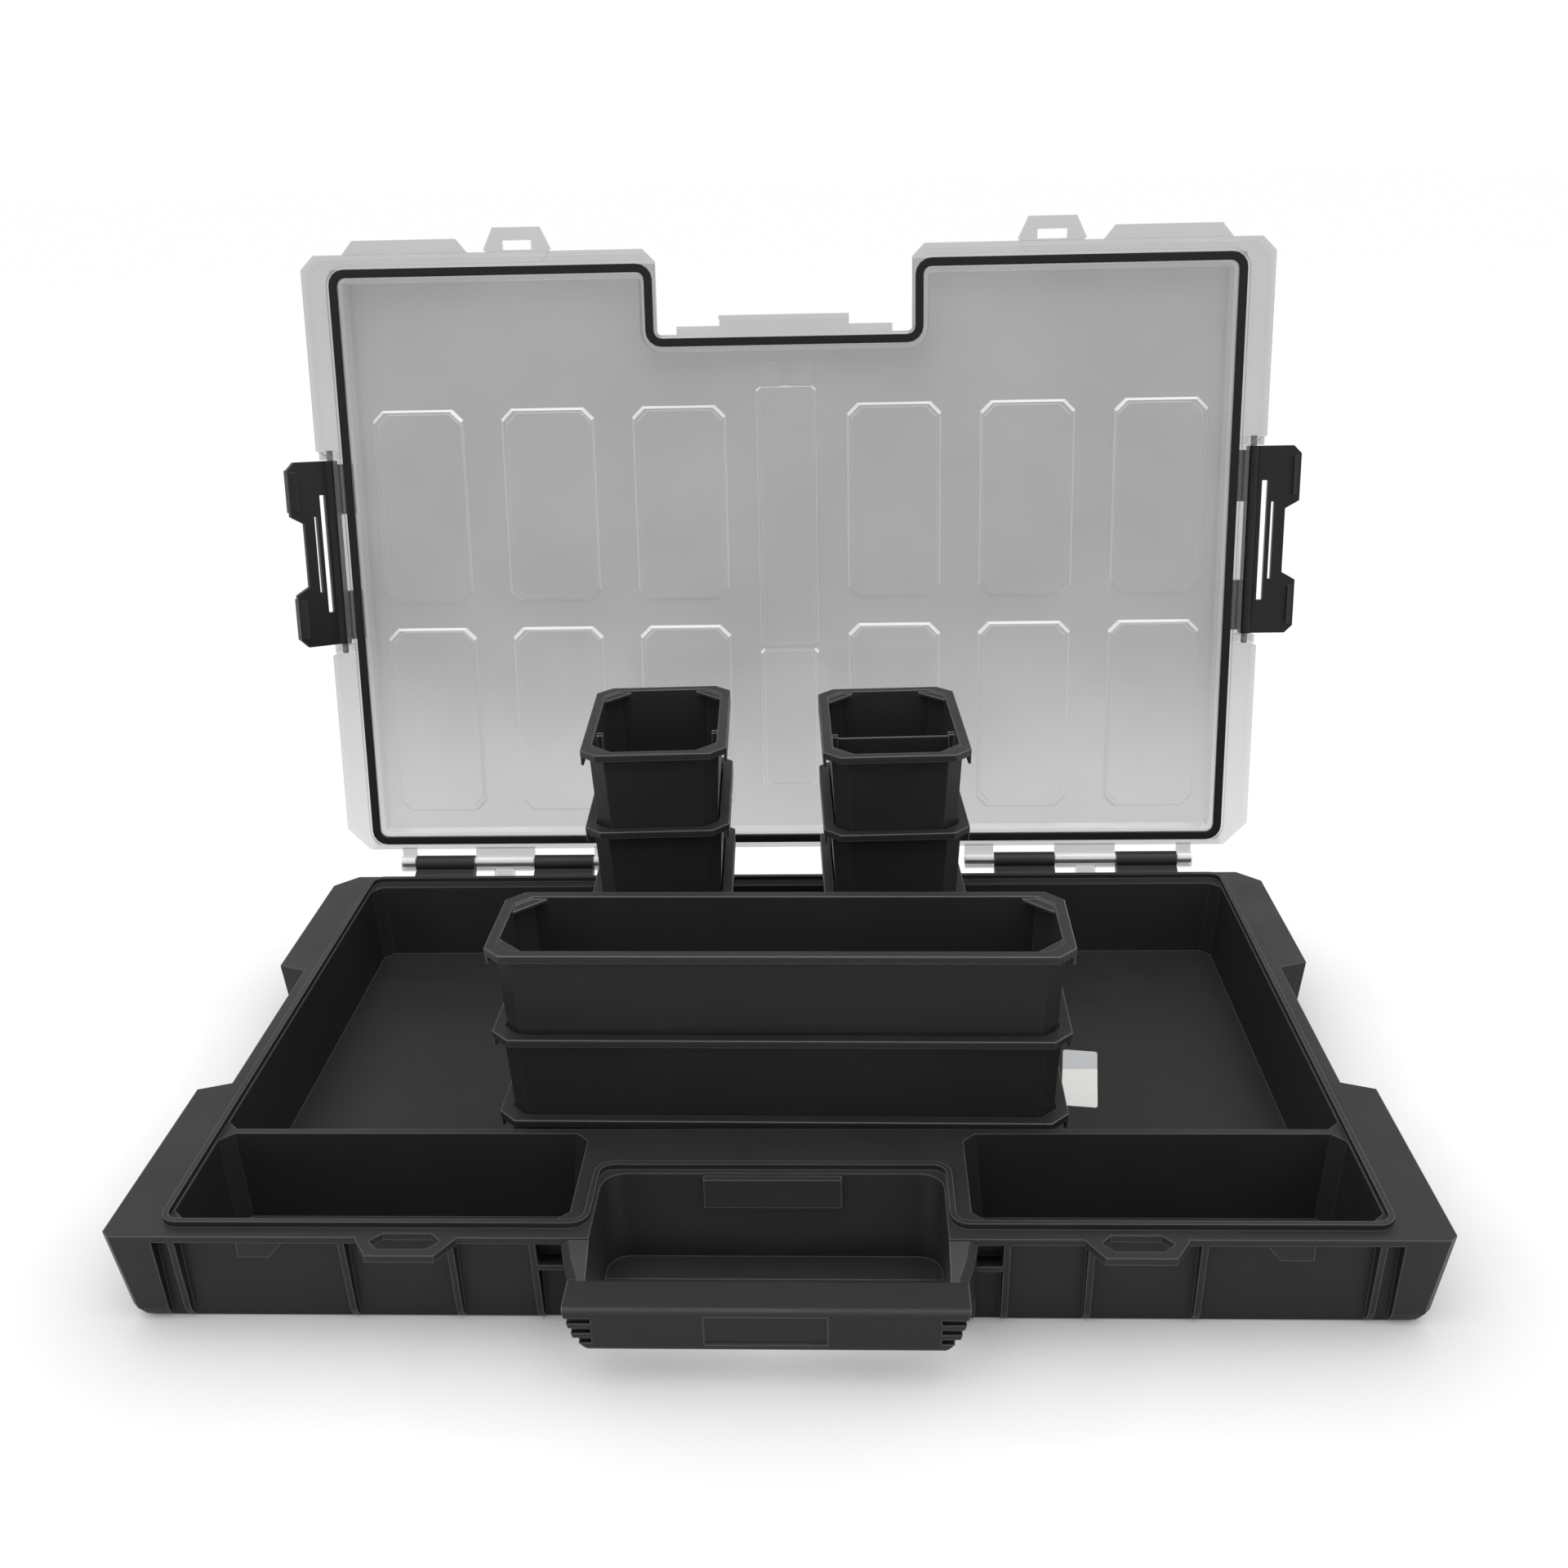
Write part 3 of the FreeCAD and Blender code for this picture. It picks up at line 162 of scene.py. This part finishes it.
def remap(tree: bpy.types.NodeTree, value: bpy.types.NodeSocket, source: tuple[float, float],
          target: tuple[float, float], smooth: bool = False) -> bpy.types.NodeSocket:
    """Map one range of values onto another, clamped at both ends.

    Args:
        tree: Tree that receives the node.
        value: Value to map.
        source: Start and end of the range that is read.
        target: Start and end of the range that is given.
        smooth: Whether to ease in and out.

    Returns:
        The mapped value's socket.
    """
    curve = {"interpolation_type": "SMOOTHSTEP" if smooth else "LINEAR"}
    return add_node(tree, Nodes.RANGE, curve, {
        "Value": value, "From Min": source[0], "From Max": source[1],
        "To Min": target[0], "To Max": target[1]}).outputs["Result"]


def blend(tree: bpy.types.NodeTree, share: bpy.types.NodeSocket, first: Any,
          second: Any) -> bpy.types.NodeSocket:
    """Blend two colours and return the result's socket."""
    return add_node(tree, Nodes.MIX, {"data_type": "RGBA"}, {0: share, 6: first, 7: second}).outputs[2]


def close(tree: bpy.types.NodeTree, inputs: dict[str, Any]) -> None:
    """End a finish with a Principled shader.

    Args:
        tree: Tree that receives the nodes.
        inputs: The shader's inputs, each with a constant or a source socket.
    """
    shader = add_node(tree, Nodes.PRINCIPLED, inputs=inputs)
    add_node(tree, Nodes.OUTPUT, inputs={"Surface": shader.outputs["BSDF"]})


@dataclass(frozen=True)
class MouldedPlastic:
    """Black plastic, injection moulded in a spark-eroded tool: a satin skin with fine grain."""

    name: str
    colour: str
    edge_highlight_colour: str
    roughness: float
    roughness_spread: float = 0.07
    refraction: float = 1.49
    # Real tool grain is about 0.3 mm, too fine for the render, so it is drawn at about 1.1 mm.
    grain_mm: float = 1.1
    grain_height_mm: float = 0.05
    grain_strength: float = 0.35
    # Handling leaves broad patches that are a little duller or glossier.
    handling_mm: float = 35.0
    # The grain scatters part of the mirror reflection, so the skin shines less than bare plastic.
    sheen: float = 0.24
    # Moulded edges are about half a millimetre round and shine in a thin line, drawn as a painted highlight
    # in the base colour.
    edge_mm: float = 0.9
    edge_share: float = 0.85
    edge_samples: int = 6
    # Cosine between the flat and the rounded normal, where the line starts and where it is full.
    edge_range: tuple[float, float] = (0.99, 0.85)

    def build(self) -> bpy.types.Material:
        """Build the shader: dark base, a painted highlight along the edges, handling marks and moulded grain.

        Returns:
            The finished material.
        """
        material, tree = new_material(self.name)
        place = add_node(tree, Nodes.COORDINATES).outputs["Object"]
        grain = noise(tree, place, self.grain_mm, 3.0, 0.6)
        handling = noise(tree, place, self.handling_mm, 4.0, 0.55)
        rounded = add_node(tree, Nodes.ROUNDED, {"samples": self.edge_samples}, {"Radius": self.edge_mm * MM})
        flat = add_node(tree, Nodes.GEOMETRY).outputs["True Normal"]
        along = dot(tree, rounded.outputs["Normal"], flat)
        # Painted highlight: near every edge, convex and concave, the base colour turns towards the lighter
        # second colour.
        edge = remap(tree, along, self.edge_range, (0.0, self.edge_share))
        bump = add_node(tree, Nodes.BUMP, inputs={
            "Height": grain, "Distance": self.grain_height_mm * MM, "Strength": self.grain_strength})
        close(tree, {
            "Base Color": blend(tree, edge, linear(self.colour), linear(self.edge_highlight_colour)),
            "Roughness": remap(tree, handling, NOISE_MIDDLE, (
                self.roughness - self.roughness_spread, self.roughness + self.roughness_spread)),
            "IOR": self.refraction, "Specular IOR Level": self.sheen, "Normal": bump.outputs["Normal"]})
        return material


@dataclass(frozen=True)
class ClearPolycarbonate:
    """Smoke-tinted polycarbonate from a polished tool: a grey see-through sheet, with a painted highlight on
    its slopes.
    """

    name: str = "clear_polycarbonate_polished"
    colour: str = "#747576"
    refraction: float = 1.58
    roughness_range: tuple[float, float] = (0.10, 0.19)
    # Painted highlight: sloped walls and rounded edges get a light colour and hold back more light, standing
    # in for light caught inside the sheet.
    slope_highlight_colour: str = "#ECEDEE"
    slope_smoke: float = 0.62
    # A slope is a face whose lean, the size of its cosine to the sheet's normal, lies this near the middle.
    slope_middle: float = 0.66
    slope_spread: float = 0.29
    # Slopes that face sideways or to the hinge get the faint share of the painted highlight, those facing the
    # free edge get all of it.
    faint: float = 0.38
    full_rise: float = 0.6
    # Angle from shut at which the lid is packed.
    open_deg: float = 98.2
    # Share of the light that each of the sheet's two faces holds back, at the hinge and at the free edge; the
    # change between them is painted shading, so the lid is lighter towards the hinge.
    hinge_smoke: float = 0.29
    edge_smoke: float = 0.50
    hinge_z_mm: float = 60.0
    edge_z_mm: float = 200.0
    # Outside the gasket the sheet looks lighter, as photographed.
    rim_share: float = 0.68
    # The gasket's straight run below the hand notch ends here, before its corners.
    notch_run_half_mm: float = 63.0
    # The melt leaves broad, shallow waves as it fills the tool.
    flow_mm: float = 60.0
    flow_height_mm: float = 0.04
    flow_strength: float = 0.5
    flow_tint: tuple[float, float] = (0.96, 1.04)

    def upwards(self) -> Vector:
        """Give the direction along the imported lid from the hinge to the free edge."""
        turn = math.radians(self.open_deg)
        return Vector((0.0, -math.cos(turn), math.sin(turn)))

    def rim(self, tree: bpy.types.NodeTree, place: bpy.types.NodeSocket) -> bpy.types.NodeSocket:
        """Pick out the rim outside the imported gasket.

        Args:
            tree: Tree that receives the nodes.
            place: Object coordinates of the shaded point.

        Returns:
            A socket that is 1 inside the gasket and rim_share on the rim.
        """
        upwards = self.upwards()
        ring = [vertex.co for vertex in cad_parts["lid_seal"].data.vertices]
        half = max(abs(point.x) for point in ring)
        top = max(point.dot(upwards) for point in ring)
        run_half = self.notch_run_half_mm * MM
        notch = max(point.dot(upwards) for point in ring if abs(point.x) < run_half)
        across = add_node(tree, Nodes.SEPARATE, inputs={0: place}).outputs["X"]
        side = calculate(tree, Operation.ABSOLUTE, across)
        rise = dot(tree, place, upwards)
        beside = calculate(tree, Operation.GREATER, side, half)
        above = calculate(tree, Operation.GREATER, rise, top)
        over_notch = calculate(tree, Operation.GREATER, rise, notch)
        amid = calculate(tree, Operation.LESS, side, run_half)
        lip = calculate(tree, Operation.MULTIPLY, over_notch, amid)
        edge = calculate(tree, Operation.MAXIMUM, beside, above)
        outside = calculate(tree, Operation.MAXIMUM, edge, lip)
        return remap(tree, outside, FULL_RANGE, (1.0, self.rim_share))

    def slopes(self, tree: bpy.types.NodeTree) -> bpy.types.NodeSocket:
        """Pick out the faces that lean between the sheet's plane and its walls, for the painted highlight.

        Args:
            tree: Tree that receives the nodes.

        Returns:
            A socket that is 0 on flat faces, faint on side slopes and 1 on slopes towards the free edge.
        """
        upwards = self.upwards()
        outwards = (0.0, upwards.z, -upwards.y)
        to_object = {"vector_type": "NORMAL", "convert_from": "WORLD", "convert_to": "OBJECT"}
        flat = add_node(tree, Nodes.GEOMETRY).outputs["True Normal"]
        facing = add_node(tree, Nodes.TURN, to_object, {"Vector": flat}).outputs["Vector"]
        lean = calculate(tree, Operation.ABSOLUTE, dot(tree, facing, outwards))
        pick = calculate(tree, Operation.COMPARE, lean, self.slope_middle, self.slope_spread)
        glow = remap(tree, dot(tree, facing, upwards), (0.0, self.full_rise), (self.faint, 1.0))
        return calculate(tree, Operation.MULTIPLY, pick, glow)

    def build(self) -> bpy.types.Material:
        """Build the shader: a smoke tint with painted shading, lighter towards the hinge, lighter on the rim,
        painted highlights on the slopes, and waves of melt flow.

        Returns:
            The finished material.
        """
        material, tree = new_material(self.name)
        place = add_node(tree, Nodes.COORDINATES).outputs["Object"]
        flow = noise(tree, place, self.flow_mm, 2.0)
        height = add_node(tree, Nodes.SEPARATE, inputs={0: place}).outputs["Z"]
        # Painted shading: the tint grows from the hinge to the free edge.
        smoke = remap(tree, height, (self.hinge_z_mm * MM, self.edge_z_mm * MM),
                      (self.hinge_smoke, self.edge_smoke), smooth=True)
        wave = remap(tree, flow, NOISE_MIDDLE, self.flow_tint)
        waved = calculate(tree, Operation.MULTIPLY, smoke, wave)
        tint = calculate(tree, Operation.MULTIPLY, waved, self.rim(tree, place))
        # Painted highlight: sloped faces take a light colour and hold back more light.
        sloped = self.slopes(tree)
        held = add_node(tree, Nodes.MIX, {"data_type": "FLOAT"}, {0: sloped, 2: tint, 3: self.slope_smoke})
        bump = add_node(tree, Nodes.BUMP, inputs={
            "Height": flow, "Distance": self.flow_height_mm * MM, "Strength": self.flow_strength})
        close(tree, {
            "Base Color": blend(tree, sloped, linear(self.colour), linear(self.slope_highlight_colour)),
            "Roughness": remap(tree, flow, NOISE_MIDDLE, self.roughness_range),
            "IOR": self.refraction, "Alpha": held.outputs[0], "Normal": bump.outputs["Normal"]})
        return material


@dataclass(frozen=True)
class ExtrudedRubber:
    """Extruded nitrile cord: dull black, with a fine mottle in what little shine it has."""

    name: str = "nitrile_rubber_extruded"
    colour: str = "#101011"
    roughness_range: tuple[float, float] = (0.64, 0.80)
    refraction: float = 1.52
    sheen: float = 0.2
    mottle_mm: float = 1.5

    def build(self) -> bpy.types.Material:
        """Build the shader: dull black with a mottled roughness.

        Returns:
            The finished material.
        """
        material, tree = new_material(self.name)
        place = add_node(tree, Nodes.COORDINATES).outputs["Object"]
        mottle = noise(tree, place, self.mottle_mm, 2.0)
        close(tree, {
            "Base Color": linear(self.colour),
            "Roughness": remap(tree, mottle, FULL_RANGE, self.roughness_range),
            "IOR": self.refraction, "Specular IOR Level": self.sheen})
        return material


@dataclass(frozen=True)
class DrawnSteel:
    """Drawn steel wire for the pins: grey metal whose shine varies finely from the die."""

    name: str = "steel_drawn"
    colour: str = "#8C8D8F"
    roughness_range: tuple[float, float] = (0.24, 0.42)
    mottle_mm: float = 0.8

    def build(self) -> bpy.types.Material:
        """Build the shader: grey metal with a mottled roughness.

        Returns:
            The finished material.
        """
        material, tree = new_material(self.name)
        place = add_node(tree, Nodes.COORDINATES).outputs["Object"]
        mottle = noise(tree, place, self.mottle_mm, 2.0)
        close(tree, {
            "Base Color": linear(self.colour), "Metallic": 1.0,
            "Roughness": remap(tree, mottle, FULL_RANGE, self.roughness_range)})
        return material


@dataclass(frozen=True)
class LabelPaper:
    """Uncoated label paper: matt white with the soft mottle of its fibres."""

    name: str = "label_paper_uncoated"
    colour: str = "#E6E6E3"
    shade: str = "#D2D2CE"
    band: str = "#B9BABC"
    # The plain printed band covers the label behind this line.
    band_y_mm: float = 20.0
    fibre_mm: float = 1.2
    roughness: float = 0.85
    refraction: float = 1.5

    def build(self) -> bpy.types.Material:
        """Build the shader: white with a fibre mottle and one plain printed band.

        Returns:
            The finished material.
        """
        material, tree = new_material(self.name)
        place = add_node(tree, Nodes.COORDINATES).outputs["Object"]
        fibre = noise(tree, place, self.fibre_mm, 4.0)
        colour = blend(tree, fibre, linear(self.colour), linear(self.shade))
        along = add_node(tree, Nodes.SEPARATE, inputs={0: place}).outputs["Y"]
        printed = calculate(tree, Operation.GREATER, along, self.band_y_mm * MM)
        close(tree, {
            "Base Color": blend(tree, printed, colour, linear(self.band)),
            "Roughness": self.roughness, "IOR": self.refraction})
        return material


def dress(node: str, material: bpy.types.Material) -> bpy.types.Object:
    """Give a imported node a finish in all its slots.

    Args:
        node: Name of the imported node.
        material: Finish to assign.

    Returns:
        The node's object.
    """
    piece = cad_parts[node]
    piece.data.materials.clear()
    piece.data.materials.append(material)
    return piece


def soften(piece: bpy.types.Object, radius_mm: float) -> None:
    """Round a piece's sharp edges as a mould does, without touching its own vertices.

    Args:
        piece: Object to soften.
        radius_mm: Edge radius.
    """
    weld = piece.modifiers.new("weld", "WELD")
    weld.merge_threshold = WELD_MM * MM
    flat = piece.modifiers.new("flat_faces", "DECIMATE")
    flat.decimate_type = "DISSOLVE"
    flat.angle_limit = math.radians(FLAT_DEG)
    bevel = piece.modifiers.new("edge_radius", "BEVEL")
    bevel.width = radius_mm * MM
    bevel.segments = EDGE_STEPS
    bevel.limit_method = "ANGLE"
    bevel.angle_limit = math.radians(SHARP_DEG)
    bevel.use_clamp_overlap = True
    level = piece.modifiers.new("flat_shading", "WEIGHTED_NORMAL")
    level.weight = LARGE_FACE_WEIGHT


@dataclass
class Tray:
    """Black tray with its hinge pins and the blank floor label."""

    edge_mm: float = 0.5

    def build(self, plastic: bpy.types.Material, steel: bpy.types.Material,
              paper: bpy.types.Material) -> list[bpy.types.Object]:
        """Dress the tray's pieces.

        Args:
            plastic: Finish of the tray.
            steel: Finish of the hinge pins.
            paper: Finish of the label.

        Returns:
            The dressed objects.
        """
        body = dress("base_tray", plastic)
        soften(body, self.edge_mm)
        pins = [dress(f"hinge_pin_{side}", steel) for side in SIDES]
        for pin in pins:
            soften(pin, self.edge_mm)
        return [body, *pins, dress("floor_label", paper)]


@dataclass
class Lid:
    """Clear lid with its gasket and latch pins."""

    edge_mm: float = 0.35

    def build(self, clear: bpy.types.Material, rubber: bpy.types.Material,
              steel: bpy.types.Material) -> list[bpy.types.Object]:
        """Dress the lid's pieces.

        Args:
            clear: Finish of the lid.
            rubber: Finish of the gasket.
            steel: Finish of the latch pins.

        Returns:
            The dressed objects.
        """
        panel = dress("lid_panel", clear)
        soften(panel, self.edge_mm)
        seal = dress("lid_seal", rubber)
        soften(seal, self.edge_mm)
        pins = [dress(f"latch_pin_{side}", steel) for side in SIDES]
        for pin in pins:
            soften(pin, self.edge_mm)
        return [panel, seal, *pins]


@dataclass
class Latches:
    """The two side latches."""

    edge_mm: float = 0.4

    def build(self, plastic: bpy.types.Material) -> list[bpy.types.Object]:
        """Dress both latches and return them."""
        pieces = [dress(f"latch_{side}", plastic) for side in SIDES]
        for piece in pieces:
            soften(piece, self.edge_mm)
        return pieces


@dataclass
class Bins:
    """Towers of lift-out bins and the loose divider."""

    small_levels: int = 4
    long_levels: int = 3
    edge_mm: float = 0.45

    def names(self) -> list[str]:
        """List the bins' node names, lowest first in each tower."""
        small = [f"small_bin_{side}_{n + 1}" for side in SIDES for n in range(self.small_levels)]
        return small + [f"long_bin_{n + 1}" for n in range(self.long_levels)]

    def build(self, plastic: bpy.types.Material) -> list[bpy.types.Object]:
        """Dress every bin and the divider and return them."""
        pieces = [dress(name, plastic) for name in [*self.names(), "bin_divider"]]
        for piece in pieces:
            soften(piece, self.edge_mm)
        return pieces


@dataclass(frozen=True)
class PhotoCamera:
    """Camera fitted to the photograph's rim and seal lines."""

    place_mm: tuple[float, float, float] = (31.2, -644.2, 421.6)
    pitch_deg: float = 22.11
    yaw_deg: float = -2.49
    roll_deg: float = -1.40
    lens_mm: float = 37.12
    sensor_mm: float = 36.0
    nearest_mm: float = 10.0

    def build(self) -> bpy.types.Object:
        """Make the camera and make it the scene's own.

        Returns:
            The camera object.
        """
        pitch, yaw, roll = (math.radians(v) for v in (self.pitch_deg, self.yaw_deg, self.roll_deg))
        ahead = Vector((
            math.sin(yaw) * math.cos(pitch), math.cos(yaw) * math.cos(pitch), -math.sin(pitch)))
        level = Vector((math.cos(yaw), -math.sin(yaw), 0.0))
        upright = level.cross(ahead)
        right = level * math.cos(roll) + upright * math.sin(roll)
        up = upright * math.cos(roll) - level * math.sin(roll)
        data = bpy.data.cameras.new("photo_camera")
        data.lens = self.lens_mm
        data.sensor_width = self.sensor_mm
        data.clip_start = self.nearest_mm * MM
        camera = bpy.data.objects.new("photo_camera", data)
        turn = Matrix((right, up, -ahead)).transposed().to_4x4()
        camera.matrix_world = Matrix.Translation(Vector(self.place_mm) * MM) @ turn
        bpy.context.scene.collection.objects.link(camera)
        bpy.context.scene.camera = camera
        return camera


@dataclass(frozen=True)
class SoftBox:
    """One large soft lamp, in metres and watts."""

    name: str
    place: tuple[float, float, float]
    aim: tuple[float, float, float]
    width: float
    depth: float
    power: float

    def build(self) -> bpy.types.Object:
        """Make the lamp, aimed at its target.

        Returns:
            The lamp object.
        """
        data = bpy.data.lights.new(self.name, "AREA")
        data.shape = "RECTANGLE"
        data.size = self.width
        data.size_y = self.depth
        data.energy = self.power
        lamp = bpy.data.objects.new(self.name, data)
        lamp.location = self.place
        lamp.rotation_euler = (Vector(self.aim) - Vector(self.place)).to_track_quat("-Z", "Y").to_euler()
        bpy.context.scene.collection.objects.link(lamp)
        return lamp


@dataclass
class Studio:
    """White floor, soft lamps and a pale world."""

    floor_half: float = 14.0
    # The floor lies a little under the feet, so that their faces don't flicker.
    floor_drop_mm: float = 0.2
    floor_colour: str = "#F4F4F4"
    fill_strength: float = 0.4
    # Most of the floor's look is a white glow, darkened near and under the object as a painted contact
    # shadow, and the rest is lit paper.
    glow_share: float = 0.92
    glow_strength: float = 1.05
    contact_mm: float = 70.0

    def lamps(self) -> list[SoftBox]:
        """List the soft lamps."""
        middle = (0.0, 0.0, 0.1)
        return [
            SoftBox("lamp_above", (0.0, -0.25, 1.7), middle, 1.8, 1.4, 28.0),
            SoftBox("lamp_left", (-1.6, -1.0, 1.1), middle, 1.0, 1.2, 6.5),
            SoftBox("lamp_right", (1.6, -0.9, 1.1), middle, 1.0, 1.2, 6.0),
        ]

    def white_rays(self, tree: bpy.types.NodeTree) -> bpy.types.NodeSocket:
        """Tell which rays show the white background.

        Args:
            tree: Tree that receives the nodes.

        Returns:
            A socket that is 1 for camera, glossy and transmitted rays.
        """
        path = add_node(tree, Nodes.LIGHT_PATH)
        camera, glossy = path.outputs["Is Camera Ray"], path.outputs["Is Glossy Ray"]
        seen = calculate(tree, Operation.MAXIMUM, camera, glossy)
        return calculate(tree, Operation.MAXIMUM, seen, path.outputs["Is Transmission Ray"])

    def world(self) -> None:
        """Light the scene from a pale world that shows as white."""
        world = bpy.data.worlds.new("pale_world")
        world.use_nodes = True
        tree = world.node_tree
        tree.nodes.clear()
        fill = add_node(tree, Nodes.BACKGROUND, inputs={
            "Color": linear(WHITE), "Strength": self.fill_strength})
        white = add_node(tree, Nodes.BACKGROUND, inputs={"Color": linear(WHITE), "Strength": 1.0})
        both = add_node(tree, Nodes.MIX_SHADER, inputs={
            0: self.white_rays(tree), 1: fill.outputs[0], 2: white.outputs[0]})
        add_node(tree, Nodes.WORLD_OUTPUT, inputs={"Surface": both.outputs[0]})
        bpy.context.scene.world = world

    def floor(self) -> bpy.types.Object:
        """Make the white floor that keeps the object's shadow: real shadow on its lit paper and painted
        shadow on its glow.

        Returns:
            The floor object.
        """
        half = self.floor_half
        mesh = bpy.data.meshes.new("studio_floor")
        corners = [(-half, -half, 0), (half, -half, 0), (half, half, 0), (-half, half, 0)]
        mesh.from_pydata(corners, [], [(0, 1, 2, 3)])
        floor = bpy.data.objects.new("studio_floor", mesh)
        floor.location.z = -self.floor_drop_mm * MM
        bpy.context.scene.collection.objects.link(floor)
        material, tree = new_material("studio_paper_white")
        matt = add_node(tree, Nodes.DIFFUSE, inputs={"Color": linear(self.floor_colour)})
        # Painted shadow: an occlusion test darkens the glow near and under the object.
        contact = add_node(tree, Nodes.OCCLUSION, inputs={"Distance": self.contact_mm * MM})
        glow = add_node(tree, Nodes.EMISSION, inputs={
            "Color": contact.outputs["Color"], "Strength": self.glow_strength})
        share = calculate(tree, Operation.MULTIPLY, self.white_rays(tree), self.glow_share)
        both = add_node(tree, Nodes.MIX_SHADER, inputs={0: share, 1: matt.outputs[0], 2: glow.outputs[0]})
        add_node(tree, Nodes.OUTPUT, inputs={"Surface": both.outputs[0]})
        mesh.materials.append(material)
        return floor

    def build(self) -> None:
        """Set up floor, world, lamps and colour handling."""
        self.floor()
        self.world()
        for lamp in self.lamps():
            lamp.build()
        bpy.context.scene.view_settings.view_transform = "Standard"


def main() -> None:
    """Build every sub-assembly and the studio."""
    logging.basicConfig(level=logging.INFO, format="%(name)s: %(message)s")
    # Each plastic's second colour is the painted highlight along its edges.
    tray_plastic = MouldedPlastic(
        name="polypropylene_black_tray", colour="#232324", edge_highlight_colour="#69696A", roughness=0.48,
        edge_share=0.6)
    bin_plastic = MouldedPlastic(
        name="polypropylene_black_bins", colour="#272728", edge_highlight_colour="#98989A", roughness=0.42)
    latch_plastic = MouldedPlastic(
        name="polyamide_black_latches", colour="#161617", edge_highlight_colour="#343435", roughness=0.38)
    steel = DrawnSteel().build()
    pieces = Tray().build(tray_plastic.build(), steel, LabelPaper().build())
    pieces += Lid().build(ClearPolycarbonate().build(), ExtrudedRubber().build(), steel)
    pieces += Latches().build(latch_plastic.build())
    pieces += Bins().build(bin_plastic.build())
    Studio().build()
    PhotoCamera().build()


if __name__ == "__main__":
    main()
